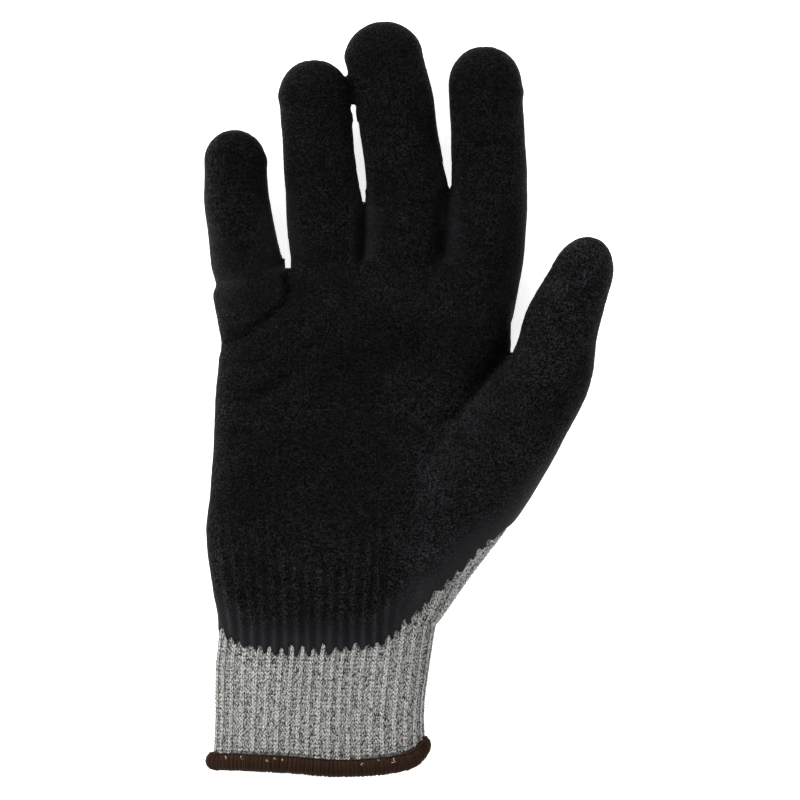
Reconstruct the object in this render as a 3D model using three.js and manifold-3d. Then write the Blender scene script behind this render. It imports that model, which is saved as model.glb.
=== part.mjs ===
// A dipped work glove for the right hand, lying on its back with the palm up.
// A knitted liner carries a rubber coating on its palm side, and an overlocked hem closes its cuff.
// X points to the thumb's side, Y to the fingertips and Z out of the palm. Millimetres and degrees.
import * as THREE from "three";
import { mergeVertices } from "three/addons/utils/BufferGeometryUtils.js";
import Module from "manifold-3d";

const wasm = await Module();
wasm.setup();

// Cloth, coating and the air between neighbouring pieces
const knitWall = 1.4;
const latexWall = 0.9;
const clearance = 0.3;

// Hand and cuff, measured on the outside of the knitted liner
const palmLength = 120;
const palmThickness = 26;
const palmEndRadius = 9;
const cuffLength = 45;
const cuffWidth = 69;
const cuffThickness = 25;
const restFlattening = 1.2;
const webWidth = 2.8;
const fingerRoot = 19;
const thumbRoot = 6;
const stallStart = 1.5;

// Ribs of the knitted cuff
const ribCount = 44;
const ribDepth = 0.4;

// Coating: how far down the sides it reaches, the teeth where it ends on the ribs, and its creases
const dipLevel = 5.8;
const toothPitch = 3.6;
const toothDepth = 3;
const creaseWidth = 1.2;
const creaseDepth = 0.5;

// Hem: its section, how deep the cuff's edge sits in it, and how its line rises and falls round the wrist
const hemHeight = 6.2;
const hemThickness = 6;
const hemGrip = 3.4;
const hemTilt = -0.6;
const hemDrop = 1.4;
const hemWave = 1.3;

// Faces round a section and over a rounded end
const digitSides = 10;
const hemSides = 6;
const tipRings = 3;
const palmEndRings = 2;
const sectionPower = 2.25;
const tipPower = 2.3;

// Rows of a digit, from the knuckles to where its rounded tip begins. along is a share of the digit's
// length, aside and width are shares of its width, and thick is a share of its thickness.
const digits = {
  little: {
    length: 43.2, width: 22.5, thickness: 16, lean: -6, curl: 9,
    rows: [
      { along: 0, aside: -0.05, width: 1, thick: 1 },
      { along: 0.2, aside: -0.07, width: 0.95, thick: 1 },
      { along: 0.47, aside: -0.095, width: 0.9, thick: 0.97 },
      { along: 0.77, aside: -0.06, width: 0.82, thick: 0.88 },
    ],
  },
  ring: {
    length: 66.1, width: 22.1, thickness: 17.5, lean: -3.4, curl: 9,
    rows: [
      { along: 0, aside: 0, width: 1, thick: 1 },
      { along: 0.14, aside: 0.02, width: 1.08, thick: 1 },
      { along: 0.3, aside: 0.02, width: 1.06, thick: 1 },
      { along: 0.5, aside: 0, width: 1, thick: 0.97 },
      { along: 0.84, aside: -0.02, width: 0.96, thick: 0.88 },
    ],
  },
  middle: {
    length: 79, width: 24.2, thickness: 18.5, lean: -4.6, curl: 8,
    rows: [
      { along: 0, aside: 0, width: 1, thick: 1 },
      { along: 0.12, aside: 0.08, width: 1.06, thick: 1 },
      { along: 0.28, aside: 0.125, width: 1.04, thick: 0.97 },
      { along: 0.55, aside: 0.05, width: 0.965, thick: 0.95 },
      { along: 0.86, aside: -0.06, width: 0.97, thick: 0.87 },
    ],
  },
  index: {
    length: 70.4, width: 24.4, thickness: 18, lean: 0.4, curl: 9,
    rows: [
      { along: 0, aside: -0.02, width: 1, thick: 1 },
      { along: 0.15, aside: 0.005, width: 1.02, thick: 1 },
      { along: 0.27, aside: 0.03, width: 0.98, thick: 0.98 },
      { along: 0.6, aside: 0.015, width: 0.93, thick: 0.95 },
      { along: 0.84, aside: -0.03, width: 0.9, thick: 0.88 },
    ],
  },
};

// The thumb springs from the wrist, so its rows hold the ball of the thumb too. lift is the height of
// its underside as a share of its thickness, and free is where it leaves the palm.
const thumb = {
  length: 139, width: 24, thickness: 21, lean: 22, free: 0.762,
  rows: [
    { along: 0.03, aside: -0.1, width: 0.6, thick: 0.85, lift: 0.14 },
    { along: 0.174, aside: -0.2, width: 1, thick: 1.1, lift: 0.14 },
    { along: 0.358, aside: -0.06, width: 1.46, thick: 1.25, lift: 0.19 },
    { along: 0.537, aside: 0.15, width: 1.28, thick: 1.15, lift: 0.3 },
    { along: 0.694, aside: 0.31, width: 1.04, thick: 1, lift: 0.4 },
    { along: 0.79, aside: 0.2, width: 0.96, thick: 0.92, lift: 0.45 },
    { along: 0.905, aside: 0.2, width: 0.79, thick: 0.8, lift: 0.52 },
  ],
};

// Rows of the hand from the wrist to the knuckles. along is a share of the palm's length. little and
// thumb say how far each edge has grown from the cuff's width to the palm's, swell does so for the
// thickness, and hollow is the depth of the palm's middle as a share of the thickness.
const handRows = [
  { along: 0, little: -0.05, thumb: 0.12, swell: 0, hollow: 0 },
  { along: 0.152, little: 0.02, thumb: 0.22, swell: 0.6, hollow: 0.02 },
  { along: 0.245, little: 0.055, thumb: 0.285, swell: 0.9, hollow: 0.04 },
  { along: 0.344, little: 0.025, thumb: 0.365, swell: 1, hollow: 0.08 },
  { along: 0.482, little: -0.015, thumb: 0.505, swell: 1, hollow: 0.12 },
  { along: 0.69, little: -0.06, thumb: 0.78, swell: 0.8, hollow: 0.12 },
  { along: 0.758, little: -0.12, thumb: 0.85, swell: 0.5, hollow: 0.08 },
  { along: 0.84, little: -0.067, thumb: 0.835, swell: 0, hollow: 0.04 },
  { along: 0.925, little: -0.01, thumb: 0.895, swell: -3.5, hollow: 0 },
];

// The knit of the hand is parted across at these shares of the palm's length.
const handParts = {
  knit_heel: { from: 0, to: 0.27 },
  knit_palm: { from: 0.27, to: 0.55 },
  knit_knuckles: { from: 0.55, to: 2 },
};

// Rows of the cuff from its edge to the wrist. little and thumb are its two edges as shares of half its
// width, thick is a share of its thickness, and rise is how much of the hem's bulge lifts it.
const cuffRows = [
  { along: 0, little: 1.009, thumb: 0.991, thick: 1.03, rise: 1 },
  { along: 0.3, little: 0.991, thumb: 0.981, thick: 1, rise: 0.7 },
  { along: 0.7, little: 0.985, thumb: 1.06, thick: 0.98, rise: 0.15 },
];

// Where the coating ends. across is a share of the palm's width from the middle of the wrist, up is a
// share of the palm's length from the wrist, and teeth says how close and deep the teeth before it are.
const coatEdge = [
  { across: -0.5, up: 0.02, teeth: 1 },
  { across: -0.33, up: -0.01, teeth: 1 },
  { across: -0.25, up: -0.028, teeth: 1 },
  { across: -0.06, up: -0.042, teeth: 1 },
  { across: 0.1, up: -0.044, teeth: 1 },
  { across: 0.26, up: -0.03, teeth: 1 },
  { across: 0.345, up: 0.052, teeth: 0.4 },
  { across: 0.475, up: 0.165, teeth: 0.1 },
  { across: 0.59, up: 0.262, teeth: 0.1 },
  { across: 0.72, up: 0.385, teeth: 0.1 },
  { across: 1.1, up: 0.75, teeth: 0.1 },
];

// Creases of the coating, in the same shares: at the roots of the little, middle and index fingers, and
// by the edge of the palm.
const creases = [
  { across: -0.09, up: 0.877, toAcross: -0.31, toUp: 0.79 },
  { across: 0.16, up: 1.158, toAcross: 0.41, toUp: 1.153 },
  { across: 0.475, up: 1.128, toAcross: 0.53, toUp: 1.1 },
  { across: -0.15, up: 0.61, toAcross: -0.3, toUp: 0.7 },
];

// The four fingers side by side make the width of the palm.
const fingerNames = ["little", "ring", "middle", "index"];
const fingerTotal = fingerNames.reduce((sum, name) => sum + digits[name].width, 0);
const palmWidth = fingerTotal + webWidth * (fingerNames.length - 1);
const hemProud = (hemThickness - knitWall) / 2;
const cutHeight = 4 * palmThickness;

function power(value, exponent) {
  return Math.sign(value) * Math.abs(value) ** exponent;
}

// A ring of points round a section, grown by offset and evenly spaced. What would reach below the
// surface that the glove lies on is pressed flat there.
function ring(section, offset, sides) {
  const { x, y, z, half, rise, lean = 0, hollow = 0, wave = null } = section;
  const evenness = 0.5 * ((half - rise) / (half + rise));
  const points = [];
  for (let i = 0; i < sides; i++) {
    const turn = (i / sides) * 2 * Math.PI;
    const angle = turn + evenness * Math.sin(2 * turn);
    const across = (half + offset) * power(Math.cos(angle), 2 / sectionPower);
    let height = (rise + offset) * power(Math.sin(angle), 2 / sectionPower);
    if (height > 0) height -= hollow * (1 - (across / (half + offset)) ** 2) ** 2;
    points.push([
      x + across * Math.cos(lean),
      y - across * Math.sin(lean) + (wave ? wave(angle) : 0),
      Math.max(z + height, -offset),
    ]);
  }
  return points;
}

function solid(geometry) {
  const bare = geometry.clone();
  bare.deleteAttribute("normal");
  bare.deleteAttribute("uv");
  const merged = mergeVertices(bare, 1e-4);
  return new wasm.Manifold(
    new wasm.Mesh({
      numProp: 3,
      vertProperties: merged.attributes.position.array,
      triVerts: new Uint32Array(merged.index.array),
    }),
  );
}

function centre(points) {
  const sum = points.reduce((total, point) => total.map((value, k) => value + point[k]), [0, 0, 0]);
  return sum.map((value) => value / points.length);
}

// A closed skin through rings of equal length, with a fan to a point at each end.
function loft(rings, first = centre(rings[0]), last = centre(rings[rings.length - 1])) {
  const sides = rings[0].length;
  const points = [first, ...rings.flat(), last];
  const end = points.length - 1;
  const faces = [];
  for (let i = 0; i < sides; i++) {
    const next = (i + 1) % sides;
    faces.push(0, 1 + i, 1 + next);
    for (let r = 0; r < rings.length - 1; r++) {
      const a = 1 + r * sides + i;
      const b = 1 + r * sides + next;
      faces.push(a, a + sides, b, b, a + sides, b + sides);
    }
    faces.push(end, end - sides + next, end - sides + i);
  }
  return meshSolid(points, faces);
}

function meshSolid(points, faces) {
  const geometry = new THREE.BufferGeometry();
  geometry.setAttribute("position", new THREE.Float32BufferAttribute(points.flat(), 3));
  geometry.setIndex(faces);
  return solid(geometry);
}

function join(solids) {
  return solids.reduce((whole, next) => whole.add(next));
}

// A block that starts at a line across the glove and reaches on in the direction of lean.
function block(x, y, lean, width, reach) {
  const box = new THREE.BoxGeometry(width, reach, cutHeight);
  box.translate(0, reach / 2, 0);
  box.rotateZ(-lean);
  box.translate(x, y, 0);
  return solid(box);
}

// Section of a digit at a row of its table. Its straight axis leans from the point where it starts.
function digitSection(digit, row) {
  const lean = THREE.MathUtils.degToRad(digit.lean);
  const along = row.along * digit.length;
  const aside = row.aside * digit.width;
  const rise = (row.thick * digit.thickness) / 2;
  const lift = digit.curl ? digit.curl * Math.max(row.along, 0) ** 2 : row.lift * digit.thickness;
  return {
    x: digit.x + along * Math.sin(lean) + aside * Math.cos(lean),
    y: digit.y + along * Math.cos(lean) - aside * Math.sin(lean),
    z: rise - restFlattening + lift,
    half: (row.width * digit.width) / 2,
    rise,
    lean,
  };
}

// A whole digit grown by offset, with its narrowed root inside the hand and an elliptic tip.
function digitSolid(digit, offset) {
  const base = digit.rows[0];
  const root = digitSection(digit, { ...base, along: base.along - digit.root / digit.length });
  root.half *= 0.7;
  root.rise *= 0.7;
  const sections = [root, ...digit.rows.map((row) => digitSection(digit, row))];
  const rings = sections.map((section) => ring(section, offset, digitSides));
  const last = digit.rows[digit.rows.length - 1];
  const capStart = digit.length * last.along;
  const capLength = digit.length - capStart + offset;
  for (let k = 1; k <= tipRings; k++) {
    const turn = (k / (tipRings + 1)) * (Math.PI / 2);
    const narrowing = Math.cos(turn) ** (2 / tipPower);
    const along = (capStart + capLength * Math.sin(turn) ** (2 / tipPower)) / digit.length;
    const section = digitSection(digit, { ...last, along });
    section.half = (section.half + offset) * narrowing - offset;
    section.rise = (section.rise + offset) * narrowing - offset;
    rings.push(ring(section, offset, digitSides));
  }
  const apex = digitSection(digit, { ...last, along: (capStart + capLength) / digit.length });
  return loft(rings, centre(rings[0]), [apex.x, apex.y, apex.z]);
}

// Height of the cuff's edge above its mean line, round the wrist.
function hemLine(angle) {
  return hemTilt * Math.cos(angle) - hemDrop * Math.sin(angle) + hemWave * Math.cos(2 * angle);
}

function cuffSection(row) {
  const left = (row.little * cuffWidth) / 2;
  const right = (row.thumb * cuffWidth) / 2;
  const rise = (row.thick * cuffThickness) / 2;
  return {
    x: (right - left) / 2,
    y: (row.along - 1) * cuffLength,
    z: rise + row.rise * (hemProud + restFlattening) - restFlattening,
    half: (left + right) / 2,
    rise,
    wave: (angle) => (1 - row.along) * hemLine(angle),
  };
}

function handSection(row) {
  const growth = palmWidth - cuffWidth;
  const left = cuffWidth / 2 + row.little * growth;
  const right = cuffWidth / 2 + row.thumb * growth;
  const thickness = cuffThickness + row.swell * (palmThickness - cuffThickness);
  return {
    x: (right - left) / 2,
    y: row.along * palmLength,
    z: thickness / 2 - restFlattening,
    half: (left + right) / 2,
    rise: thickness / 2,
    hollow: row.hollow * thickness,
  };
}

// The hand with its cuff grown by offset, from the cuff's edge to the webs between the fingers.
function handSolid(offset) {
  const sections = [...cuffRows.map(cuffSection), ...handRows.map(handSection)];
  const rings = sections.map((section) => ring(section, offset, ribCount));
  const end = handSection(handRows[handRows.length - 1]);
  const reach = palmLength - end.y + offset;
  for (let k = 1; k <= palmEndRings; k++) {
    const turn = (k / (palmEndRings + 0.5)) * (Math.PI / 2);
    const inset = (1 - Math.cos(turn)) * palmEndRadius;
    const section = { ...end, y: end.y + reach * Math.sin(turn) };
    section.half -= inset;
    section.rise -= inset;
    rings.push(ring(section, offset, ribCount));
  }
  return loft(rings);
}

// The whole glove grown by offset, as one body.
function gloveSolid(offset) {
  return join([handSolid(offset), ...allDigits.map((digit) => digitSolid(digit, offset))]);
}

// Where each digit starts: the fingers side by side on the knuckle line, the thumb on the wrist's edge.
function placeDigits() {
  let edge = -cuffWidth / 2 - handRows[handRows.length - 1].little * (palmWidth - cuffWidth);
  for (const name of fingerNames) {
    const digit = digits[name];
    digit.x = edge + digit.width / 2;
    digit.y = palmLength;
    digit.root = fingerRoot;
    digit.free = stallStart / digit.length;
    edge += digit.width + webWidth;
  }
  thumb.x = cuffWidth / 2;
  thumb.y = 0;
  thumb.root = thumbRoot;
}

// What lies beyond a line across a digit, a given distance past where its stall leaves the hand.
function stallBlock(digit, past) {
  const lean = THREE.MathUtils.degToRad(digit.lean);
  const along = digit.free * digit.length + past;
  const x = digit.x + along * Math.sin(lean);
  const y = digit.y + along * Math.cos(lean);
  return block(x, y, lean, palmWidth, digit.length);
}

// A stretch of the hand with the stumps of its digits, open to the hollow inside of the whole liner.
function knitHand(part, inside) {
  const from = part.from * palmLength + (part.from > 0 ? clearance : 0);
  const stretch = block(0, from, 0, 4 * palmWidth, part.to * palmLength - from);
  const stumps = allDigits.map((digit) => digitSolid(digit, 0).subtract(stallBlock(digit, 0)));
  return join([handSolid(0), ...stumps]).intersect(stretch).subtract(inside);
}

function knitStall(digit, inside) {
  return digitSolid(digit, 0).intersect(stallBlock(digit, clearance)).subtract(inside);
}

// A ring with a rib's crest on each of its points and a valley halfway to the next.
function ribbed(points) {
  const middle = centre(points);
  return points.flatMap((point, i) => {
    const next = points[(i + 1) % points.length];
    const chord = new THREE.Vector2(next[0] - point[0], next[2] - point[2]);
    const inward = new THREE.Vector2(-chord.y, chord.x).normalize().multiplyScalar(ribDepth);
    const half = point.map((value, k) => (value + next[k]) / 2);
    const towards = (middle[0] - half[0]) * inward.x + (middle[2] - half[2]) * inward.y;
    if (towards < 0) inward.negate();
    return [point, [half[0] + inward.x, half[1], half[2] + inward.y]];
  });
}

// The ribbed cuff, a tube from its edge to just short of the hand.
function knitCuff() {
  const sections = [...cuffRows.map(cuffSection), handSection(handRows[0])];
  sections[sections.length - 1].y -= clearance;
  const outside = loft(sections.map((section) => ribbed(ring(section, 0, ribCount))));
  sections[0] = { ...sections[0], y: sections[0].y - knitWall };
  sections.push({ ...sections[sections.length - 1], y: knitWall });
  const inside = loft(sections.map((section) => ring(section, -knitWall, ribCount)));
  return outside.subtract(inside);
}

// The coating's region seen from the palm: above its edge line, which runs in teeth over the ribs.
function coatBlock() {
  const line = new THREE.Shape();
  const reach = palmLength + digits.middle.length * 2;
  const across = (row) => row.across * palmWidth;
  const up = (row) => row.up * palmLength;
  line.moveTo(across(coatEdge[0]) * 2, reach);
  line.lineTo(across(coatEdge[0]) * 2, up(coatEdge[0]));
  for (let r = 0; r < coatEdge.length - 1; r++) {
    const from = new THREE.Vector2(across(coatEdge[r]), up(coatEdge[r]));
    const to = new THREE.Vector2(across(coatEdge[r + 1]), up(coatEdge[r + 1]));
    const share = coatEdge[r + 1].teeth;
    const teeth = Math.max(1, Math.round((share * from.distanceTo(to)) / toothPitch));
    const depth = share * toothDepth;
    for (let i = 0; i < teeth; i++) {
      const root = from.clone().lerp(to, i / teeth);
      const tip = from.clone().lerp(to, (i + 0.5) / teeth);
      line.lineTo(root.x, root.y + depth / 2);
      line.lineTo(tip.x, tip.y - depth / 2);
    }
  }
  line.lineTo(across(coatEdge[coatEdge.length - 1]) * 2, reach);
  const prism = new THREE.ExtrudeGeometry(line, { depth: cutHeight, bevelEnabled: false });
  prism.translate(0, 0, dipLevel);
  return solid(prism);
}

function creaseBlock(row) {
  const from = new THREE.Vector2(row.across * palmWidth, row.up * palmLength);
  const to = new THREE.Vector2(row.toAcross * palmWidth, row.toUp * palmLength);
  const lean = Math.atan2(to.x - from.x, to.y - from.y);
  const upper = new THREE.BoxGeometry(creaseWidth, from.distanceTo(to), cutHeight);
  upper.translate(0, from.distanceTo(to) / 2, cutHeight / 2 + palmThickness / 2);
  upper.rotateZ(-lean);
  upper.translate(from.x, from.y, 0);
  return solid(upper);
}

// The coating, a skin just outside the liner, with its creases cut into its face.
function latexCoating() {
  const outside = gloveSolid(clearance + latexWall);
  const skin = outside.subtract(gloveSolid(clearance)).intersect(coatBlock());
  const creaseFloor = gloveSolid(clearance + latexWall - creaseDepth);
  return skin.subtract(join(creases.map(creaseBlock)).subtract(creaseFloor));
}

// The hem, a rounded ring round the cuff's edge, with the groove that the edge sits in.
function hem() {
  const edge = cuffSection(cuffRows[0]);
  const rings = [];
  for (let k = 0; k < hemSides; k++) {
    const turn = (k / hemSides) * 2 * Math.PI;
    const offset = (hemThickness / 2) * Math.cos(turn) - knitWall / 2;
    const shift = hemGrip - hemHeight / 2 + (hemHeight / 2) * Math.sin(turn);
    rings.push(ring({ ...edge, y: edge.y + shift }, offset, ribCount));
  }
  const faces = [];
  for (let k = 0; k < hemSides; k++) {
    for (let i = 0; i < ribCount; i++) {
      const a = k * ribCount + i;
      const b = k * ribCount + ((i + 1) % ribCount);
      const c = ((k + 1) % hemSides) * ribCount + i;
      const d = ((k + 1) % hemSides) * ribCount + ((i + 1) % ribCount);
      faces.push(a, c, b, b, c, d);
    }
  }
  const sections = cuffRows.slice(0, 2).map(cuffSection);
  sections[0].y -= clearance;
  const around = loft(sections.map((section) => ring(section, clearance, ribCount)));
  sections[0].y -= knitWall;
  const within = loft(sections.map((section) => ring(section, -knitWall - clearance, ribCount)));
  return meshSolid(rings.flat(), faces).subtract(around.subtract(within));
}

const yarn = { color: 0xb4b4b0, roughness: 0.95, metalness: 0 };
const rubber = { color: 0x1c1c1e, roughness: 0.7, metalness: 0 };
const thread = { color: 0x4a3320, roughness: 0.85, metalness: 0 };
const allDigits = [...fingerNames.map((name) => digits[name]), thumb];
const glove = new THREE.Group();

function addPiece(name, piece, finish) {
  const mesh = piece.getMesh();
  const geometry = new THREE.BufferGeometry();
  geometry.setAttribute("position", new THREE.BufferAttribute(mesh.vertProperties, mesh.numProp));
  geometry.setIndex(new THREE.BufferAttribute(mesh.triVerts, 1));
  geometry.computeVertexNormals();
  const node = new THREE.Mesh(geometry, new THREE.MeshStandardMaterial(finish));
  node.name = name;
  glove.add(node);
}

placeDigits();
const inside = gloveSolid(-knitWall);
addPiece("knit_cuff", knitCuff(), yarn);
for (const name in handParts) addPiece(name, knitHand(handParts[name], inside), yarn);
for (const name of fingerNames) addPiece(`knit_${name}_finger`, knitStall(digits[name], inside), yarn);
addPiece("knit_thumb", knitStall(thumb, inside), yarn);
addPiece("latex_coating", latexCoating(), rubber);
addPiece("hem", hem(), thread);

// The origin is on the surface that the glove lies on, under the middle of its outline.
const bounds = new THREE.Box3().setFromObject(glove);
const middle = bounds.getCenter(new THREE.Vector3());
for (const node of glove.children) node.position.set(-middle.x, -middle.y, -bounds.min.z);

export default glove;
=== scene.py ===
import math

import bmesh
import bpy
import numpy as np
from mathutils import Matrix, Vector


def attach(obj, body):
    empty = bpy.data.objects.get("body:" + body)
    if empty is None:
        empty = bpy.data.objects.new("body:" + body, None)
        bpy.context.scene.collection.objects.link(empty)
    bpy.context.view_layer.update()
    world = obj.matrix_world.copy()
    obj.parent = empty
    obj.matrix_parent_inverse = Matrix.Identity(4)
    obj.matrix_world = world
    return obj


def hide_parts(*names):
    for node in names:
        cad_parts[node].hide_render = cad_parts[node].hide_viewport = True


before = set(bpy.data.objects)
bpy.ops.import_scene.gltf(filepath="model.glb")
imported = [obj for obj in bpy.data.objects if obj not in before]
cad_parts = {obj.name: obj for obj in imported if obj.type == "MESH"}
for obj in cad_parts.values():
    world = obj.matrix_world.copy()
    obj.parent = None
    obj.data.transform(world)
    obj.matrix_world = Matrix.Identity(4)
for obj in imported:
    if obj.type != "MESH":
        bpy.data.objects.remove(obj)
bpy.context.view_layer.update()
print("frame loaded:", len(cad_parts), "nodes")

# The glove's form
# Millimetres from the middle of the wrist: x to the thumb, y to the fingertips, z out of the palm.
gloveForm = {
    "shift": (29.6116, 74.8569, 0.0),   # the wrist's middle, seen from under the middle of the outline
    "palmLength": 120, "palmWidth": 101.6, "palmThickness": 26, "palmEnd": 9, "endRings": 6,
    "cuffLength": 45, "cuffWidth": 69, "cuffThickness": 25,
    "flattening": 1.2, "web": 2.8, "fingerRoot": 19, "thumbRoot": 6, "littleStart": .01, "hemLift": 3.5,
    "sectionPower": 2.25, "tipPower": 2.0, "rootNarrowing": .7,
    "sides": 112, "step": 1.6, "tipRings": 9, "webSides": 24, "webRings": 7,
    # the webs between the fingers: x, y, x, y, half width, half thickness, height of the middle
    "webs": [
        (-9.6, 108, -10.2, 116.4, 3, 5.5, 7.2), (13.6, 108, 14.8, 139.9, 3, 5, 7),
        (39.6, 108, 42.6, 143, 3.2, 5, 7.2),
    ],
    # the palm's end falls by this much between these places, towards the little finger
    "sag": (-3, -11, 3.4), "sagFrom": .75,
}

# along, little side, thumb side, swell, hollow, as in the solids
handRows = [
    (0, -.05, .12, 0, 0), (.152, .02, .22, .6, .02), (.245, .055, .285, .9, .04),
    (.344, .025, .365, 1, .08), (.482, -.015, .505, 1, .12), (.69, -.06, .78, .8, .12),
    (.758, -.105, .85, .5, .08), (.84, -.055, .855, 0, .04), (.925, 0, .905, -3.5, 0),
]
# along, little side, thumb side, thickness, rise
cuffRows = [(0, 1.009, 1.013, 1.03, 1), (.3, .991, 1.003, 1, .7), (.7, .985, 1.06, .98, .15)]
# degrees round the wrist from the thumb's side over the palm, and the cuff's edge above its mean line
hemLine = [
    (0, 5.0), (12, 3.3), (28, .4), (45, -1.2), (65, -2.2), (85, -2.4), (100, -1.5), (130, -.7),
    (180, -.4), (230, .3), (270, 1.7), (310, 3.4), (345, 5.0), (360, 5.0),
]

# along, aside, width, thickness, and for the thumb the lift of its underside
digits = {
    "little": {
        "length": 43.2, "width": 22.5, "thickness": 16, "lean": -6, "curl": 9,
        "rows": [(0, -.05, 1, 1), (.2, -.07, .95, 1), (.47, -.095, .9, .97), (.77, -.06, .82, .88)],
    },
    "ring": {
        "length": 66.1, "width": 22.1, "thickness": 17.5, "lean": -3.4, "curl": 9,
        "rows": [
            (0, 0, 1, 1), (.14, .02, 1.08, 1), (.3, .02, 1.06, 1), (.5, 0, 1, .97), (.84, -.02, .96, .88),
        ],
    },
    "middle": {
        "length": 79, "width": 24.2, "thickness": 18.5, "lean": -4.6, "curl": 8,
        "rows": [
            (0, 0, 1, 1), (.12, .08, 1.06, 1), (.28, .125, 1.04, .97), (.55, .073, .985, .95),
            (.7, .037, .995, .92), (.86, -.045, .98, .87),
        ],
    },
    "index": {
        "length": 70.4, "width": 24.4, "thickness": 18, "lean": .4, "curl": 9,
        "rows": [
            (0, -.02, 1, 1), (.15, .005, 1.02, 1), (.27, .036, .99, .98), (.6, .015, .93, .95),
            (.84, -.03, .9, .88),
        ],
    },
    "thumb": {
        "length": 139, "width": 24, "thickness": 21, "lean": 22, "curl": 0,
        "rows": [
            (.03, -.1, .6, .85, .14), (.174, -.2, 1.19, 1.1, .14), (.25, -.13, 1.3, 1.18, .16),
            (.358, -.06, 1.46, 1.25, .19), (.537, .15, 1.28, 1.15, .3), (.694, .31, 1.04, 1, .4),
            (.79, .215, .935, .92, .45), (.905, .22, .755, .8, .52),
        ],
    },
}


def smoothRows(rows, places):
    # a cubic through the rows, whose first column says where they are
    rows = np.array(rows, float)
    t = rows[:, 0]
    slope = np.gradient(rows, t, axis=0)
    at = np.clip(places, t[0], t[-1])
    i = np.clip(np.searchsorted(t, at, "right") - 1, 0, len(t) - 2)
    gap = (t[i + 1] - t[i])[:, None]
    u = ((at - t[i]) / gap[:, 0])[:, None]
    a, b, c, d = 2 * u**3 - 3 * u**2 + 1, u**3 - 2 * u**2 + u, -2 * u**3 + 3 * u**2, u**3 - u**2
    return a * rows[i] + b * gap * slope[i] + c * rows[i + 1] + d * gap * slope[i + 1]


def smoothstep(low, high, value):
    u = np.clip((value - low) / (high - low), 0, 1)
    return u * u * (3 - 2 * u)


def power(value, exponent):
    return np.sign(value) * np.abs(value) ** exponent


def hemHeight(angle):
    turn = np.degrees(angle) % 360
    return smoothRows(hemLine, np.atleast_1d(turn).ravel())[:, 1].reshape(np.shape(turn))


def placeDigits(g):
    growth = g["palmWidth"] - g["cuffWidth"]
    edge = -g["cuffWidth"] / 2 + g["littleStart"] * growth
    for name in ("little", "ring", "middle", "index"):
        d = digits[name]
        d.update(x=edge + d["width"] / 2, y=g["palmLength"], root=g["fingerRoot"])
        edge += d["width"] + g["web"]
    digits["thumb"].update(x=g["cuffWidth"] / 2, y=0, root=g["thumbRoot"])


def handStations(g):
    # y, x, z, half width, half thickness, hollow, share of the hem's wave
    growth, wrist = g["palmWidth"] - g["cuffWidth"], g["cuffWidth"] / 2
    rows = []
    for along, little, thumb, thick, rise in cuffRows:
        up = thick * g["cuffThickness"] / 2
        height = up + rise * g["hemLift"] - g["flattening"]
        rows.append(((along - 1) * g["cuffLength"], (thumb - little) * wrist / 2, height,
                     (little + thumb) * wrist / 2, up, 0, 1 - along))
    for along, little, thumb, swell, hollow in handRows:
        thick = g["cuffThickness"] + swell * (g["palmThickness"] - g["cuffThickness"])
        rows.append((along * g["palmLength"], (thumb - little) * growth / 2, thick / 2 - g["flattening"],
                     wrist + (little + thumb) * growth / 2, thick / 2, hollow * thick, 0))
    return rows


def handSections(g, offset):
    stations = handStations(g)
    first, last = stations[0][0], stations[-1][0]
    places = np.linspace(first, last, int((last - first) / g["step"]) + 1)
    found = []
    for y, x, z, half, rise, hollow, wave in smoothRows(stations, places):
        sag = g["sag"][2] * max(0, (y / g["palmLength"] - g["sagFrom"]) / (1 - g["sagFrom"])) ** 2
        found.append(dict(x=x, y=y, z=z, half=half, rise=rise, hollow=hollow, wave=wave, lean=0, sag=sag))
    end, reach = found[-1], g["palmLength"] - last + offset
    for k in range(g["endRings"]):
        turn = (k + 1) / (g["endRings"] + .5) * math.pi / 2
        inset = (1 - math.cos(turn)) * g["palmEnd"]
        found.append({**end, "y": end["y"] + reach * math.sin(turn), "half": end["half"] - inset,
                      "rise": end["rise"] - inset, "sag": g["sag"][2]})
    return found


def digitSection(g, d, row):
    lean = math.radians(d["lean"])
    along, aside = row[0] * d["length"], row[1] * d["width"]
    rise = row[3] * d["thickness"] / 2
    lift = d["curl"] * max(row[0], 0) ** 2 if d["curl"] else row[4] * d["thickness"]
    return dict(x=d["x"] + along * math.sin(lean) + aside * math.cos(lean),
                y=d["y"] + along * math.cos(lean) - aside * math.sin(lean),
                z=rise - g["flattening"] + lift, half=row[2] * d["width"] / 2, rise=rise,
                hollow=0, wave=0, lean=lean, sag=0)


def digitSections(g, d, offset):
    rows, last = d["rows"], d["rows"][-1]
    root = digitSection(g, d, (rows[0][0] - d["root"] / d["length"], *rows[0][1:]))
    root["half"] *= g["rootNarrowing"]
    root["rise"] *= g["rootNarrowing"]
    length = (last[0] - rows[0][0]) * d["length"]
    places = np.linspace(rows[0][0], last[0], int(length / g["step"]) + 1)
    found = [root] + [digitSection(g, d, row) for row in smoothRows(rows, places)]
    start = d["length"] * last[0]
    for k in range(1, g["tipRings"] + 1):
        turn = k / (g["tipRings"] + 1) * math.pi / 2
        narrow = math.cos(turn) ** (2 / g["tipPower"])
        along = start + (d["length"] - start + offset) * math.sin(turn) ** (2 / g["tipPower"])
        tip = digitSection(g, d, (along / d["length"], *last[1:]))
        for size in ("half", "rise"):
            tip[size] = (tip[size] + offset) * narrow - offset
        found.append(tip)
    return found


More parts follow.
